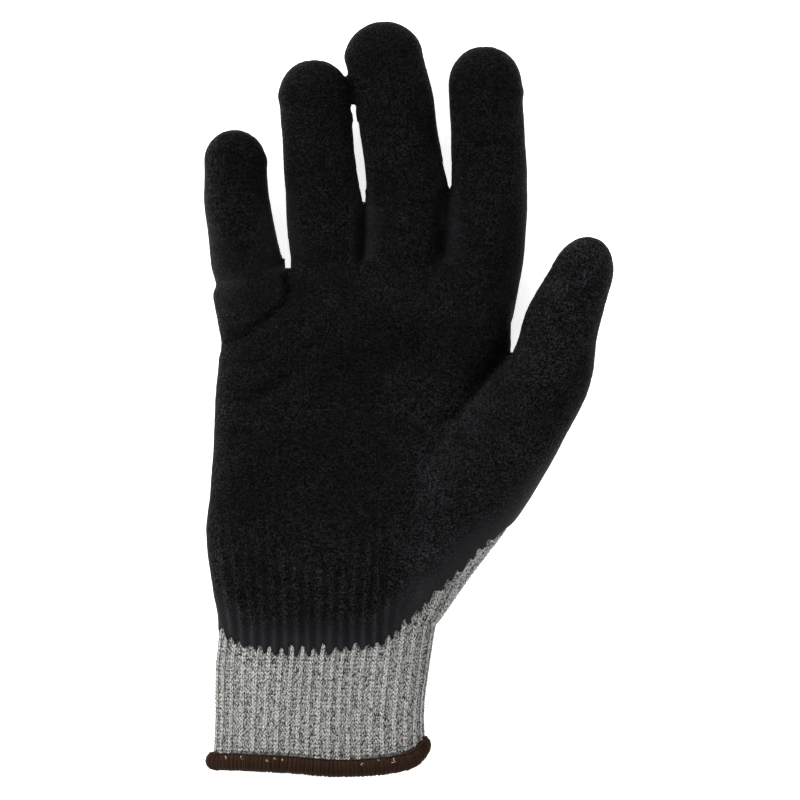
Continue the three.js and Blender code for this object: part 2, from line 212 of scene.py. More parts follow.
def ringPoints(g, s, offset, sides):
    evenness = .5 * (s["half"] - s["rise"]) / (s["half"] + s["rise"])
    turn = np.arange(sides) / sides * 2 * math.pi
    angle = turn + evenness * np.sin(2 * turn)
    across = (s["half"] + offset) * power(np.cos(angle), 2 / g["sectionPower"])
    height = (s["rise"] + offset) * power(np.sin(angle), 2 / g["sectionPower"])
    dip = s["hollow"] * (1 - (across / (s["half"] + offset)) ** 2) ** 2
    height = np.where(height > 0, height - dip, height)
    wave = s["wave"] * hemHeight(angle) if s["wave"] else 0
    if s["sag"]:
        wave -= s["sag"] * smoothstep(*g["sag"][:2], s["x"] + across)
    lean = s["lean"]
    return np.stack([s["x"] + across * math.cos(lean), s["y"] - across * math.sin(lean) + wave,
                     np.maximum(s["z"] + height, -offset)], 1)


def bandFaces(rows, sides, closed=False):
    # quads between rows of points, each row a closed ring
    faces = []
    for r in range(rows if closed else rows - 1):
        here, after = r * sides, (r + 1) % rows * sides
        for i in range(sides):
            j = (i + 1) % sides
            faces.append((here + i, here + j, after + j, after + i))
    return faces


def loft(rings):
    # rings of equal length joined by quads, closed by a fan at each end
    sides, count = len(rings[0]), len(rings)
    points = np.concatenate([*rings, [rings[0].mean(0)], [rings[-1].mean(0)]])
    faces = bandFaces(count, sides)
    low, top = count * sides, (count - 1) * sides
    for i in range(sides):
        j = (i + 1) % sides
        faces.append((low, j, i))
        faces.append((low + 1, top + i, top + j))
    return points, [f[::-1] for f in faces]


def gloveShells(g, offset, mouth=0.0):
    # the hand and each digit grown by offset; mouth lengthens the hand past the cuff's edge
    def shell(sections, sides):
        return loft([ringPoints(g, s, offset, sides) for s in sections])

    hand = handSections(g, offset)
    if mouth:
        hand.insert(0, {**hand[0], "y": hand[0]["y"] - mouth})
    shells = [shell(hand, g["sides"])]
    shells += [shell(digitSections(g, d, offset), g["sides"] // 2) for d in digits.values()]
    for ax, ay, bx, by, half, rise, z in g["webs"]:
        flat = dict(z=z, half=half, rise=rise, hollow=0, wave=0, lean=0, sag=0)
        shares = np.linspace(0, 1, g["webRings"])
        web = [dict(flat, x=ax + (bx - ax) * u, y=ay + (by - ay) * u) for u in shares]
        shells.append(shell(web, g["webSides"]))
    return shells


# Mesh tools
def toFrame(points):
    return (np.asarray(points, float) - gloveForm["shift"]) / 1000


def toGlove(points):
    return np.asarray(points, float) * 1000 + gloveForm["shift"]


def makePiece(name, points, faces):
    mesh = bpy.data.meshes.new(name)
    mesh.from_pydata(np.asarray(points, float).tolist(), [], faces)
    mesh.update()
    piece = bpy.data.objects.new(name, mesh)
    bpy.context.scene.collection.objects.link(piece)
    return piece


def bake(piece):
    # the modifiers' result becomes the piece's own plain mesh
    graph = bpy.context.evaluated_depsgraph_get()
    mesh = bpy.data.meshes.new_from_object(piece.evaluated_get(graph), depsgraph=graph)
    piece.modifiers.clear()
    old, piece.data = piece.data, mesh
    bpy.data.meshes.remove(old)
    mesh.name = piece.name
    return piece


def drop(piece):
    mesh = piece.data
    bpy.data.objects.remove(piece)
    bpy.data.meshes.remove(mesh)


def readMesh(items, name, kind=float):
    values = np.empty(len(items) * (3 if kind is float else 2), kind)
    items.foreach_get(name, values)
    return values


def readPoints(mesh):
    return readMesh(mesh.vertices, "co").reshape(-1, 3)


def readNormals(mesh):
    return readMesh(mesh.vertex_normals, "vector").reshape(-1, 3)


def writePoints(mesh, points):
    mesh.vertices.foreach_set("co", np.asarray(points, float).ravel())
    mesh.update()


def fuse(name, shells, voxel, smoothing):
    # one skin round all the shells
    points, faces, start = [], [], 0
    for shellPoints, shellFaces in shells:
        points.append(shellPoints)
        faces += [tuple(i + start for i in f) for f in shellFaces]
        start += len(shellPoints)
    piece = makePiece(name, toFrame(np.concatenate(points)), faces)
    remesh = piece.modifiers.new("skin", "REMESH")
    remesh.mode, remesh.voxel_size, remesh.use_smooth_shade = "VOXEL", voxel / 1000, True
    smooth = piece.modifiers.new("soften", "SMOOTH")
    smooth.factor, smooth.iterations = .5, smoothing
    return bake(piece)


def cutAway(piece, tool):
    cut = piece.modifiers.new("cut", "BOOLEAN")
    cut.operation, cut.solver, cut.object = "DIFFERENCE", "MANIFOLD", tool
    bake(piece)
    drop(tool)
    return piece


def keepLargest(piece):
    # scraps that a cut leaves behind are deleted
    mesh = piece.data
    edges = readMesh(mesh.edges, "vertices", int)
    group = np.arange(len(mesh.vertices))
    while True:
        low = np.minimum(group[edges[::2]], group[edges[1::2]])
        before = group.copy()
        np.minimum.at(group, edges, np.repeat(low, 2))
        group = group[group]
        if (group == before).all():
            break
    names, counts = np.unique(group, return_counts=True)
    scraps = np.nonzero(group != names[counts.argmax()])[0]
    cleaned = bmesh.new()
    cleaned.from_mesh(mesh)
    cleaned.verts.ensure_lookup_table()
    bmesh.ops.delete(cleaned, geom=[cleaned.verts[i] for i in scraps], context="VERTS")
    cleaned.to_mesh(mesh)
    cleaned.free()
    return piece


def shadeSmooth(piece, angle=None):
    piece.data.shade_smooth()
    if angle:
        piece.data.set_sharp_from_angle(angle=math.radians(angle))


def giveValues(mesh, **values):
    # a number or a vector kept with each point, under each of these names
    for name, value in values.items():
        value = np.asarray(value, np.float32)
        if value.ndim == 0:
            value = np.full(len(mesh.vertices), value)
        kind, field = ("FLOAT_VECTOR", "vector") if value.ndim == 2 else ("FLOAT", "value")
        mesh.attributes.new(name, kind, "POINT").data.foreach_set(field, value.ravel())


def faceOutward(mesh, triangulate=False):
    body = bmesh.new()
    body.from_mesh(mesh)
    bmesh.ops.recalc_face_normals(body, faces=body.faces)
    if triangulate:
        bmesh.ops.triangulate(body, faces=body.faces)
    body.to_mesh(mesh)
    body.free()


def triangles(piece):
    return sum(len(f.vertices) - 2 for f in piece.data.polygons)


# Node tools
def addNode(tree, kind, inputs=None, **settings):
    node = tree.nodes.new(kind)
    for name, value in settings.items():
        setattr(node, name, value)
    for name, value in (inputs or {}).items():
        socket = node.inputs[name]
        if isinstance(value, bpy.types.NodeSocket):
            tree.links.new(value, socket)
        else:
            socket.default_value = value
    return node


def calculate(tree, operation, a, b=None):
    inputs = {0: a} if b is None else {0: a, 1: b}
    return addNode(tree, "ShaderNodeMath", inputs, operation=operation).outputs[0]


def chain(tree, operation, first, *others):
    for other in others:
        first = calculate(tree, operation, first, other)
    return first


def times(tree, *values):
    return chain(tree, "MULTIPLY", *values)


def plus(tree, *values):
    return chain(tree, "ADD", *values)


def minus(tree, a, b):
    return calculate(tree, "SUBTRACT", a, b)


def awayFromHalf(tree, value):
    return calculate(tree, "ABSOLUTE", minus(tree, value, .5))


def calculateVector(tree, operation, a, b):
    inputs = {0: a, "Scale" if operation == "SCALE" else 1: b}
    return addNode(tree, "ShaderNodeVectorMath", inputs, operation=operation).outputs["Vector"]


def ramp(tree, value, low, high, toLow=0.0, toHigh=1.0):
    inputs = {"Value": value, "From Min": low, "From Max": high, "To Min": toLow, "To Max": toHigh}
    return addNode(tree, "ShaderNodeMapRange", inputs).outputs["Result"]


def noiseValue(tree, place, scale, detail=2.0, roughness=.5, distortion=0.0, seed=None):
    inputs = {"Vector": place, "Scale": scale, "Detail": detail, "Roughness": roughness,
              "Distortion": distortion}
    if seed is None:
        return addNode(tree, "ShaderNodeTexNoise", inputs).outputs[0]
    return addNode(tree, "ShaderNodeTexNoise", {**inputs, "W": seed}, noise_dimensions="4D").outputs[0]


def newTree(name, inputs):
    tree = bpy.data.node_groups.new(name, "GeometryNodeTree")
    tree.interface.new_socket("Geometry", in_out="INPUT", socket_type="NodeSocketGeometry")
    for label, kind, value in inputs:
        socket = tree.interface.new_socket(label, in_out="INPUT", socket_type="NodeSocket" + kind)
        if value is not None:
            socket.default_value = value
    tree.interface.new_socket("Geometry", in_out="OUTPUT", socket_type="NodeSocketGeometry")
    return tree, tree.nodes.new("NodeGroupInput"), tree.nodes.new("NodeGroupOutput")


def useTree(piece, tree, values):
    modifier = piece.modifiers.new(tree.name, "NODES")
    modifier.node_group = tree
    for item in tree.interface.items_tree:
        if item.in_out == "INPUT" and item.name in values:
            modifier[item.identifier] = values[item.name]
    return bake(piece)


def attributeValue(tree, name, kind="FLOAT"):
    node = addNode(tree, "GeometryNodeInputNamedAttribute", {"Name": name}, data_type=kind)
    return node.outputs["Attribute"]


def setOnPoints(tree, given, result, shape, sideAxis):
    # the shape stands on each point, turned by its aim and out, and takes its size and the material
    aim, out, size = [attributeValue(tree, name, "FLOAT_VECTOR") for name in ("aim", "out", "size")]
    turn = addNode(tree, "FunctionNodeAlignRotationToVector", {"Vector": aim}, axis="Z")
    turn = addNode(tree, "FunctionNodeAlignRotationToVector", {"Rotation": turn.outputs[0], "Vector": out},
                   axis=sideAxis, pivot_axis="Z")
    points = addNode(tree, "GeometryNodeMeshToPoints", {"Mesh": given.outputs[0], "Radius": .0001})
    placed = addNode(tree, "GeometryNodeInstanceOnPoints", {
        "Points": points.outputs[0], "Instance": shape, "Rotation": turn.outputs[0], "Scale": size})
    real = addNode(tree, "GeometryNodeRealizeInstances", {"Geometry": placed.outputs[0]})
    done = addNode(tree, "GeometryNodeSetMaterial", {
        "Geometry": real.outputs[0], "Material": given.outputs["Material"]})
    tree.links.new(done.outputs[0], result.inputs[0])
    return tree


def lineDistance(points, a, b):
    # distance in plan from a straight line between two points, and the share along it
    a, b = np.array(a, float), np.array(b, float)
    d = b - a
    u = ((points[:, :2] - a) @ d) / (d @ d)
    near = a + np.clip(u, 0, 1)[:, None] * d
    return np.linalg.norm(points[:, :2] - near, axis=1), u


def polylineDistance(points, line):
    # distance in plan from a line of several parts, and the share along the whole of it
    lengths = np.linalg.norm(np.diff(np.array(line, float), axis=0), axis=1)
    far, share, before = np.full(len(points), 1e9), np.zeros(len(points)), 0
    for a, b, length in zip(line, line[1:], lengths):
        d, u = lineDistance(points, a, b)
        low, high = (-9 if before == 0 else 0), (9 if before + length > lengths.sum() - 1e-6 else 1)
        share = np.where(d < far, (before + np.clip(u, low, high) * length) / lengths.sum(), share)
        far = np.minimum(far, d)
        before += length
    return far, share


placeDigits(gloveForm)

# Finishes
finishes = {
    "latex": {
        "dark": (.0004, .0004, .0006, 1), "light": (.027, .0262, .0288, 1), "rough": (.66, .48),
        "specular": .028, "edgeCalm": (2.0, 11.0, .1, 1.0), "ribPaintedShade": (-1.0, 1.0, .5, 1.5),
        "worms": 880.0, "wormWidth": .085, "wormShare": .55, "blobs": 1500.0, "blobFrom": (.48, .68),
        "blobShare": .75, "cloud": 150.0, "patch": 45.0, "smoothTone": .52, "bump": .0003,
    },
    "yarn": {
        "pale": (.44, .44, .42, 1), "mid": (.30, .30, .29, 1), "black": (.026, .026, .028, 1),
        "share": (.555, .605), "dash": 2500.0, "dashStretch": .42, "marl": .11, "drift": 480.0,
        "driftShare": .16, "fibre": 5200.0, "bump": .00008,
    },
    "lining": {
        # the liner's pale grey is darker than the yarn's: painted shade where it shows between the stitches
        "pale": (.24, .24, .23, 1), "black": (.03, .03, .032, 1), "wale": 560.0, "course": 780.0,
        "slant": -1.2, "fleck": 850.0, "fleckFrom": (.39, .43), "bump": .0003,
    },
    "thread": {"dark": (.006, .0022, .0007, 1), "light": (.030, .0118, .0042, 1), "fibre": 4200.0},
    "yarnEnd": {"dark": (.24, .19, .13, 1), "light": (.50, .46, .37, 1), "fibre": 5000.0},
    "threadBump": .0001, "threadSheen": .04,
}


def newMaterial(name, roughness, specular, sheen=0.0):
    material = bpy.data.materials.new(name)
    material.use_nodes = True
    tree = material.node_tree
    shader = tree.nodes["Principled BSDF"]
    shader.inputs["Roughness"].default_value = roughness
    shader.inputs["Specular IOR Level"].default_value = specular
    shader.inputs["Sheen Weight"].default_value = sheen
    shader.inputs["Sheen Roughness"].default_value = .6
    return material, tree, shader, addNode(tree, "ShaderNodeTexCoord").outputs["Object"]


def pointValue(tree, name):
    return addNode(tree, "ShaderNodeAttribute", attribute_name=name).outputs["Fac"]


def mixColour(tree, share, a, b):
    return addNode(tree, "ShaderNodeMix", {0: share, 6: a, 7: b}, data_type="RGBA").outputs[2]


def colourAndBump(tree, shader, colour, height, distance):
    tree.links.new(colour, shader.inputs["Base Color"])
    bump = addNode(tree, "ShaderNodeBump", {"Height": height, "Distance": distance, "Strength": 1.0})
    tree.links.new(bump.outputs[0], shader.inputs["Normal"])


def latexFinish(f):
    material, tree, shader, place = newMaterial("crinkled_latex", .65, f["specular"])
    calm = ramp(tree, pointValue(tree, "edge"), *f["edgeCalm"])
    # lighter ridges wander over a black ground, with lighter grains between them; their lightness is partly
    # scuffed latex and partly a painted highlight on the ridges
    worms = awayFromHalf(tree, noiseValue(tree, place, f["worms"], 1.0, .5, .6))
    worms = ramp(tree, worms, 0.0, f["wormWidth"], 1.0, 0.0)
    blobs = ramp(tree, noiseValue(tree, place, f["blobs"], 1.0, .5, .3), *f["blobFrom"])
    grain = plus(tree, times(tree, worms, f["wormShare"]), times(tree, blobs, f["blobShare"]))
    cloud = noiseValue(tree, place, f["cloud"], 3.0)
    patches = ramp(tree, noiseValue(tree, place, f["patch"], 2.0), .3, .7, .7, 1.3)
    clouds = ramp(tree, cloud, .3, .7, .75, 1.25)
    # the grain is lighter on the thumb, at some spots, near the wrist and at the lit rims, the last a painted
    # rim light
    grained = times(tree, grain, pointValue(tree, "wear"), clouds, patches, calm)
    smooth = times(tree, ramp(tree, cloud, .3, .7, .85, 1.1), f["smoothTone"], minus(tree, 1.0, calm))
    # the ribs' crests are painted lighter and their grooves darker: painted highlight and painted shade on
    # the ribs
    tone = times(tree, plus(tree, grained, smooth), ramp(tree, pointValue(tree, "ribs"), *f["ribPaintedShade"]))
    tree.links.new(ramp(tree, grain, 0.0, 1.0, *f["rough"]), shader.inputs["Roughness"])
    colour = mixColour(tree, tone, f["dark"], f["light"])
    colourAndBump(tree, shader, colour, times(tree, grain, calm), f["bump"])
    return material


def yarnFinish(f):
    material, tree, shader, place = newMaterial("marled_yarn", .95, .06, .1)
    # the black ply comes up in short dashes along the yarn
    long = calculateVector(tree, "MULTIPLY", place, (1.0, f["dashStretch"], 1.0))
    dashes = noiseValue(tree, long, f["dash"], 1.0)
    drift = noiseValue(tree, place, f["drift"], 1.0)
    # each leg's value puts more black into the sunk wales and less into the raised ones, as painted shade in
    # the grooves
    marl = times(tree, pointValue(tree, "marl"), f["marl"])
    grey = ramp(tree, plus(tree, dashes, marl, times(tree, drift, f["driftShare"])), *f["share"])
    fibre = noiseValue(tree, place, f["fibre"], 2.0)
    # each leg's tone is also lighter in the raised wales: painted highlight
    lightness = plus(tree, times(tree, pointValue(tree, "tone"), .6), times(tree, fibre, .5))
    colour = mixColour(tree, grey, f["black"], mixColour(tree, lightness, f["mid"], f["pale"]))
    colourAndBump(tree, shader, colour, fibre, f["bump"])
    return material


def liningFinish(f):
    material, tree, shader, place = newMaterial("liner_knit", .95, .15)
    parts = addNode(tree, "ShaderNodeSeparateXYZ", {0: place})
    slant = awayFromHalf(tree, calculate(tree, "FRACT", times(tree, parts.outputs["X"], f["wale"])))
    course = plus(tree, times(tree, parts.outputs["Y"], f["course"]), times(tree, slant, f["slant"]))
    waves = calculate(tree, "ABSOLUTE", calculate(tree, "SINE", times(tree, course, math.pi)))
    loops = times(tree, waves, calculate(tree, "SINE", times(tree, slant, 2 * math.pi)))
    flecks = ramp(tree, noiseValue(tree, place, f["fleck"], 2.0, .6, .5), *f["fleckFrom"])
    fleckedGround = mixColour(tree, flecks, f["black"], f["pale"])
    # between the loops of its pattern the knit is darkened towards black: painted shade in its crevices
    colour = mixColour(tree, ramp(tree, loops, 0.0, .7, .35, 0.0), fleckedGround, f["black"])
    colourAndBump(tree, shader, colour, loops, f["bump"])
    return material


def threadFinish(name, f):
    material, tree, shader, place = newMaterial(name, .8, .05, finishes["threadSheen"])
    fibre = noiseValue(tree, place, f["fibre"], 2.0, .6)
    share = plus(tree, times(tree, pointValue(tree, "tone"), .65), times(tree, fibre, .45))
    colour = mixColour(tree, share, f["dark"], f["light"])
    colourAndBump(tree, shader, colour, fibre, finishes["threadBump"])
    return material


latexMaterial = latexFinish(finishes["latex"])
yarnMaterial = yarnFinish(finishes["yarn"])
liningMaterial = liningFinish(finishes["lining"])
threadMaterial = threadFinish("hem_thread", finishes["thread"])
yarnEndMaterial = threadFinish("pale_yarn_end", finishes["yarnEnd"])
print("finishes:", len(bpy.data.materials))


# Latex coating
coating = {
    "voxel": .76, "smoothing": 6, "innerVoxel": 1.6, "innerSmoothing": 3, "gap": .28, "thickness": .92,
    "mouth": 4, "rim": 1.1, "sink": 2.0, "dipHeight": 5.6, "dipWave": .8,
    "thumbLine": ((45, 25), (88, 130)), "thumbDip": 3,
    # how light the grain is: everywhere, on the thumb, its ball and some spots, at the rims (painted rim
    # light on the sides that face the left lamp) and near the wrist
    "wear": (.3, .3, .4, .36),
    # x, y, radius and how much lighter the grain gets at each spot; the first is a painted highlight on the
    # ball of the thumb
    "lighterSpots": [
        (36, 52, 8, .5), (-7, 76, 7, .35), (-21, 97, 6, .3), (30, 132, 9, .25), (88, 118, 8, .3),
    ],
    # where it ends, from the little finger's side to the thumb's tip
    "edge": [
        (-60, 14), (-44, 4), (-36, -.4), (-33.3, -2.4), (-29, -5.8), (-23, -7.7), (-17, -9.2), (-9, -9.5),
        (-2.5, -9.6), (4, -9.0), (9, -8.3), (16.7, -7.5), (20.7, -6.6), (24, -4.8), (27.2, -1.8), (31.2, 1.9),
        (35.6, 6.7), (40, 11.1), (45, 15.3), (50, 19.8), (54.7, 24.9), (59, 28.2), (61.5, 30.2), (66.5, 34.3),
        (72, 40.6), (78, 46.6), (96, 68),
    ],
    "edgeStep": .3, "edgeMargin": 13, "diagonalFrom": (24, 34), "teethTo": (63, 55),
    "toothPitch": 3.6, "toothHeight": (1.5, 5.8), "stepPitch": 5, "stepHeight": 2.2, "taper": .6, "seed": 7,
    # width, depth and the line of each groove or fold in the palm
    "creases": [
        (3, 2.8, [(-10.6, 118), (-10, 113.5), (-9, 109.5)]),
        (3.4, 1.5, [(-9, 109.8), (-11, 106), (-15.4, 102.4), (-20, 98.8), (-24.7, 95.2), (-32, 93.6)]),
        (4.6, 1.0, [(-2.4, 87.5), (-9, 81.6), (-15.2, 78), (-22, 74.4), (-31, 73)]),
        (2.4, 2.8, [(14.2, 142), (14, 130), (13.8, 118.5)]),
        (3.2, 2.8, [(42.9, 146), (41.1, 140.3), (40.2, 130), (39.4, 119.5)]),
        (1.6, .45, [(26.6, 138.4), (32, 138.8), (37.6, 140.4)]), (1.5, .4, [(15.8, 139.4), (21, 138.6)]),
        (1.8, .7, [(43.6, 136), (51, 132)]), (2.6, .8, [(-20, 86), (-29, 87.2), (-37, 89.5)]),
        (7, .6, [(8, 97), (-2, 91), (-12, 83)]), (7, 1.2, [(63, 95), (56, 83), (48, 74)]),
        (6, .7, [(50, 74), (42, 67), (33, 62)]), (6, .5, [(20, 118), (32, 114), (44, 112)]),
        (3, .5, [(-36, 64), (-20, 63)]), (5, .5, [(46, 60), (38, 54), (30, 49)]),
        (2.4, .4, [(88, 105), (74, 98)]), (2, .5, [(86, 96), (94, 92)]), (2.4, .35, [(52, 158), (64, 160)]),
        (2.6, .35, [(20, 165), (38, 163)]), (2.6, .3, [(-13, 148), (8, 150)]),
        (2.6, .3, [(-38, 128), (-18, 130)]),
    ],
    # x, y, radius, height
    "ears": [
        (-18.6, 153.6, 2.2, .5), (-13.2, 175.2, 2.4, .5), (8.8, 188.4, 2.6, .4), (66.6, 176.6, 2.4, .7),
        (-34.6, 88.4, 3.2, 1.1),
    ],
    # each gap between two fingers as the lines of its two sides
    "gaps": [
        ([(-12.9, 128), (-12.1, 124.4), (-11.4, 121.8), (-11.2, 118.3)],
         [(-9.4, 118.3), (-9.4, 121.8), (-9.8, 124.4), (-10.2, 128)]),
        ([(10.7, 172.4), (11.4, 166.8), (12, 161.5), (12.4, 156.2), (12.4, 150.9), (13.4, 145.6), (14.1, 142),
          (14.5, 140.3), (14.8, 139.4)],
         [(15.2, 140.3), (15.4, 142), (15.1, 145.6), (14.5, 150.9), (14.1, 156.2), (13.2, 161.5),
          (12.6, 166.8), (11.8, 172.4)]),
        ([(40.9, 153.6), (41.5, 150.9), (42.2, 148.3), (42.8, 145.6), (43.2, 144.6)],
         [(43.8, 145.6), (43.9, 153.6)]),
    ],
    # from, to, and how often the hollows at the fingers' roots are smoothed
    "fillet": (102, 126, 36),
    "swellings": [
        (-33, 80, 4, .6), (-27, 102, 7, .8), (-24, 90, 6, .7), (35, 52, 8, .8), (28, 130, 8, .6),
        (0, 124, 9, .5), (52, 124, 9, .5), (-22, 112, 8, .6), (78, 80, 9, .6), (90, 88, 4, .7),
        (-30, 66, 5, .5), (60, 44, 10, .5), (-24, 52, 10, .5), (-8, 77, 6, .5),
    ],
    "hollow": (43, 86, 19, 15, 1.6),   # x, y, half width, half length, depth
    "ribPitch": 3.7, "ribDepth": .26, "ribTo": 40, "ribFan": .0042,
    "crinkle": .15, "crinkleScale": 400.0, "lumps": .28, "lumpScale": 95.0,
}


def roundSpot(points, x, y, radius):
    # 1 at a spot's middle in plan, falling off smoothly
    return np.exp(-(np.hypot(points[:, 0] - x, points[:, 1] - y) / radius) ** 2)


def coatLine(c):
    # the edge with its teeth over the ribs and its steps up the ball of the thumb
    rng = np.random.default_rng(c["seed"])
    base = np.array(c["edge"], float)
    arc = np.concatenate([[0], np.cumsum(np.linalg.norm(np.diff(base, axis=0), axis=1))])
    line = smoothRows(np.column_stack([arc, base]), np.arange(0, arc[-1], c["edgeStep"]))[:, 1:]
    diagonal = smoothstep(*c["diagonalFrom"], line[:, 0])
    pitch = c["toothPitch"] + (c["stepPitch"] - c["toothPitch"]) * diagonal
    phase = np.cumsum(c["edgeStep"] / pitch)
    low, high = c["toothHeight"]
    heights = low + (high - low) * rng.random(int(phase[-1]) + 3) ** 1.4
    nearest = heights[np.round(phase).astype(int)]
    height = (nearest + (c["stepHeight"] - nearest) * diagonal) * smoothstep(*c["teethTo"], line[:, 0])
    cusp = 1 - np.abs(np.sin(math.pi * (phase + .1 * np.sin(phase * 2.4))))
    line[:, 1] += height * cusp - .35 * height
    return line


def coatDepth(c, points):
    # how far a point of the skin lies inside the coated region
    line = coatLine(c)
    x, y = points[:, 0], points[:, 1]
    inside = np.zeros(len(points), bool)
    closed = np.concatenate([line, [(140, 300), (-140, 300)]])
    for a, b in zip(closed, np.roll(closed, -1, axis=0)):
        hit = (a[1] > y) != (b[1] > y)
        crossing = a[0] + (y - a[1]) / (b[1] - a[1] + 1e-12) * (b[0] - a[0])
        inside ^= hit & (x < crossing)
    far = np.full(len(points), 30.0)
    for start in range(0, len(line) - 1, 12):
        part = line[start:start + 13]
        low, high = part.min(0) - c["edgeMargin"], part.max(0) + c["edgeMargin"]
        near = np.nonzero((x > low[0]) & (x < high[0]) & (y > low[1]) & (y < high[1]))[0]
        for a, b in zip(part, part[1:]):
            d, _ = lineDistance(points[near], a, b)
            far[near] = np.minimum(far[near], d)
    plan = np.where(inside, far, -far)
    wave = np.sin(x * .21 + 1) * np.cos(y * .17) + .5 * np.sin(y * .43 + x * .3)
    dip = c["dipHeight"] + c["dipWave"] * wave
    thumb, along = lineDistance(points, *c["thumbLine"])
    # the raised end of the thumb is coated all round
    dip -= c["thumbDip"] * smoothstep(16, 12, thumb) * smoothstep(.3, .42, along)
    return np.minimum(plan, points[:, 2] - dip)


def foldPalm(c, points):
    # folds, hollows and swellings of the palm move every layer up or down together
    shift = np.zeros(len(points))
    for width, depth, line in c["creases"]:
        d, u = polylineDistance(points, line)
        ends = np.clip(1.1 - np.abs(u - .5) ** 4 * 12, 0, 1)
        shift -= depth * ends * np.exp(-(d / (width / 2)) ** 2)
        shift += .22 * depth * ends * np.exp(-((d - width) / (width * .6)) ** 2)
    for x, y, radius, lift in c["swellings"]:
        shift += lift * roundSpot(points, x, y, radius)
    x, y, wide, long, depth = c["hollow"]
    shift -= depth * np.exp(-((points[:, 0] - x) / wide) ** 2 - ((points[:, 1] - y) / long) ** 2)
    folded = points.copy()
    folded[:, 2] += shift * smoothstep(4, 12, points[:, 2]) * smoothstep(0, 2.5, coatDepth(c, points))
    return folded


def skinRelief(c, points, normals):
    # the small ears at the fingertips' seams, and the cuff's ribs showing through the latex
    height = np.zeros(len(points))
    for x, y, radius, lift in c["ears"]:
        height += lift * roundSpot(points, x, y, radius) * smoothstep(-.6, .1, normals[:, 2])
    fan = 1 + c["ribFan"] * np.clip(points[:, 1], 0, 60)
    ribs = 1 - 2 * np.abs(np.sin(math.pi * (points[:, 0] / fan) / c["ribPitch"])) ** .8
    sides = smoothstep(-37, -31, points[:, 0]) * smoothstep(31, 20, points[:, 0])
    ribs = ribs * smoothstep(c["ribTo"], 12, points[:, 1]) * sides * smoothstep(-.1, .5, normals[:, 2])
    return height + c["ribDepth"] * ribs, ribs


def crinkleTree():
    # the skin pushed in and out along its normals by wrinkled noise, calmer near the coating's edge
    tree, given, result = newTree("crinkled_skin", [
        ("Crinkle", "Float", .0001), ("Crinkle Scale", "Float", 600.0), ("Lumps", "Float", .0003),
        ("Lump Scale", "Float", 90.0), ("Seed", "Float", 3.0)])
    take = given.outputs
    place = addNode(tree, "GeometryNodeInputPosition").outputs[0]
    normal = addNode(tree, "GeometryNodeInputNormal").outputs[0]
    noise = noiseValue(tree, place, take["Crinkle Scale"], 2.0, .5, .6, take["Seed"])
    ridge = minus(tree, .12, awayFromHalf(tree, noise))
    calm = ramp(tree, attributeValue(tree, "edge"), 2.0, 14.0, .15, 1.0)
    fine = times(tree, ridge, calm, times(tree, take["Crinkle"], 8.0))
    swell = minus(tree, noiseValue(tree, place, take["Lump Scale"], 2.0, .5, 0.0, take["Seed"]), .5)
    inward = ramp(tree, attributeValue(tree, "edge"), 0.0, 5.0)
    swell = times(tree, swell, times(tree, take["Lumps"], 2.0), inward)
    offset = calculateVector(tree, "SCALE", normal, plus(tree, fine, swell))
    moved = addNode(tree, "GeometryNodeSetPosition", {"Geometry": take[0], "Offset": offset})
    tree.links.new(moved.outputs[0], result.inputs[0])
    return tree


def fillRoots(c, mesh):
    # the hollows where the fingers leave the palm are filled, and nothing is taken away
    points = toGlove(readPoints(mesh))
    low, high, rounds = c["fillet"]
    edges = readMesh(mesh.edges, "vertices", int)
    a, b = edges[::2], edges[1::2]
    links = np.bincount(edges, minlength=len(points))
    smooth = points[:, 2].copy()
    for _ in range(rounds):
        total = np.bincount(a, smooth[b], len(points)) + np.bincount(b, smooth[a], len(points))
        smooth = .5 * smooth + .5 * total / links
    rise = np.clip(smooth - points[:, 2], 0, 3) * smoothstep(5, 9, points[:, 2])
    points[:, 2] += rise * smoothstep(low - 6, low, points[:, 1]) * smoothstep(high, high - 8, points[:, 1])
    writePoints(mesh, toFrame(points))


def cutGaps(c, piece):
    # prisms through the full height keep the gaps between the fingers open
    points, faces = [], []
    for left, right in c["gaps"]:
        start, count = len(points), len(left + right)
        points += [(x, y, z) for z in (-6, 40) for x, y in left + right]
        floor = tuple(range(count))
        prism = [floor[::-1], tuple(count + i for i in floor), *bandFaces(2, count)]
        faces += [tuple(start + i for i in face) for face in prism]
    tool = makePiece("gaps", toFrame(points), faces)
    faceOutward(tool.data, triangulate=True)
    giveValues(tool.data, edge=20)
    return cutAway(piece, tool)


def foldLayer(piece):
    writePoints(piece.data, toFrame(foldPalm(coating, toGlove(readPoints(piece.data)))))
    return piece


def giveGreyingAndSheen(c, mesh, points, normals):
    # the ball of the thumb and the thumb are greyer, some spots are lighter, the first of them a painted
    # highlight, and the rims facing the left lamp get painted rim light
    x, y = points[:, 0], points[:, 1]
    far, _ = lineDistance(points, *c["thumbLine"])
    greyer = np.maximum(smoothstep(18, 10, far), .8 * smoothstep(14, 40, x) * smoothstep(96, 66, y))
    for spotX, spotY, radius, more in c["lighterSpots"]:
        greyer = greyer + more * roundSpot(points, spotX, spotY, radius)
    # the little finger's side of the glove and the sides that face the left lamp are painted lighter: painted
    # rim light
    rimLight = .9 * smoothstep(-26, -38, x)
    rimLight += .5 * smoothstep(.9, .3, normals[:, 2]) * smoothstep(.1, -.5, normals[:, 0])
    base, greyerShare, rimLightShare, wristShare = c["wear"]
    wear = base + greyerShare * greyer + rimLightShare * rimLight + wristShare * smoothstep(44, 6, y)
    giveValues(mesh, wear=wear)


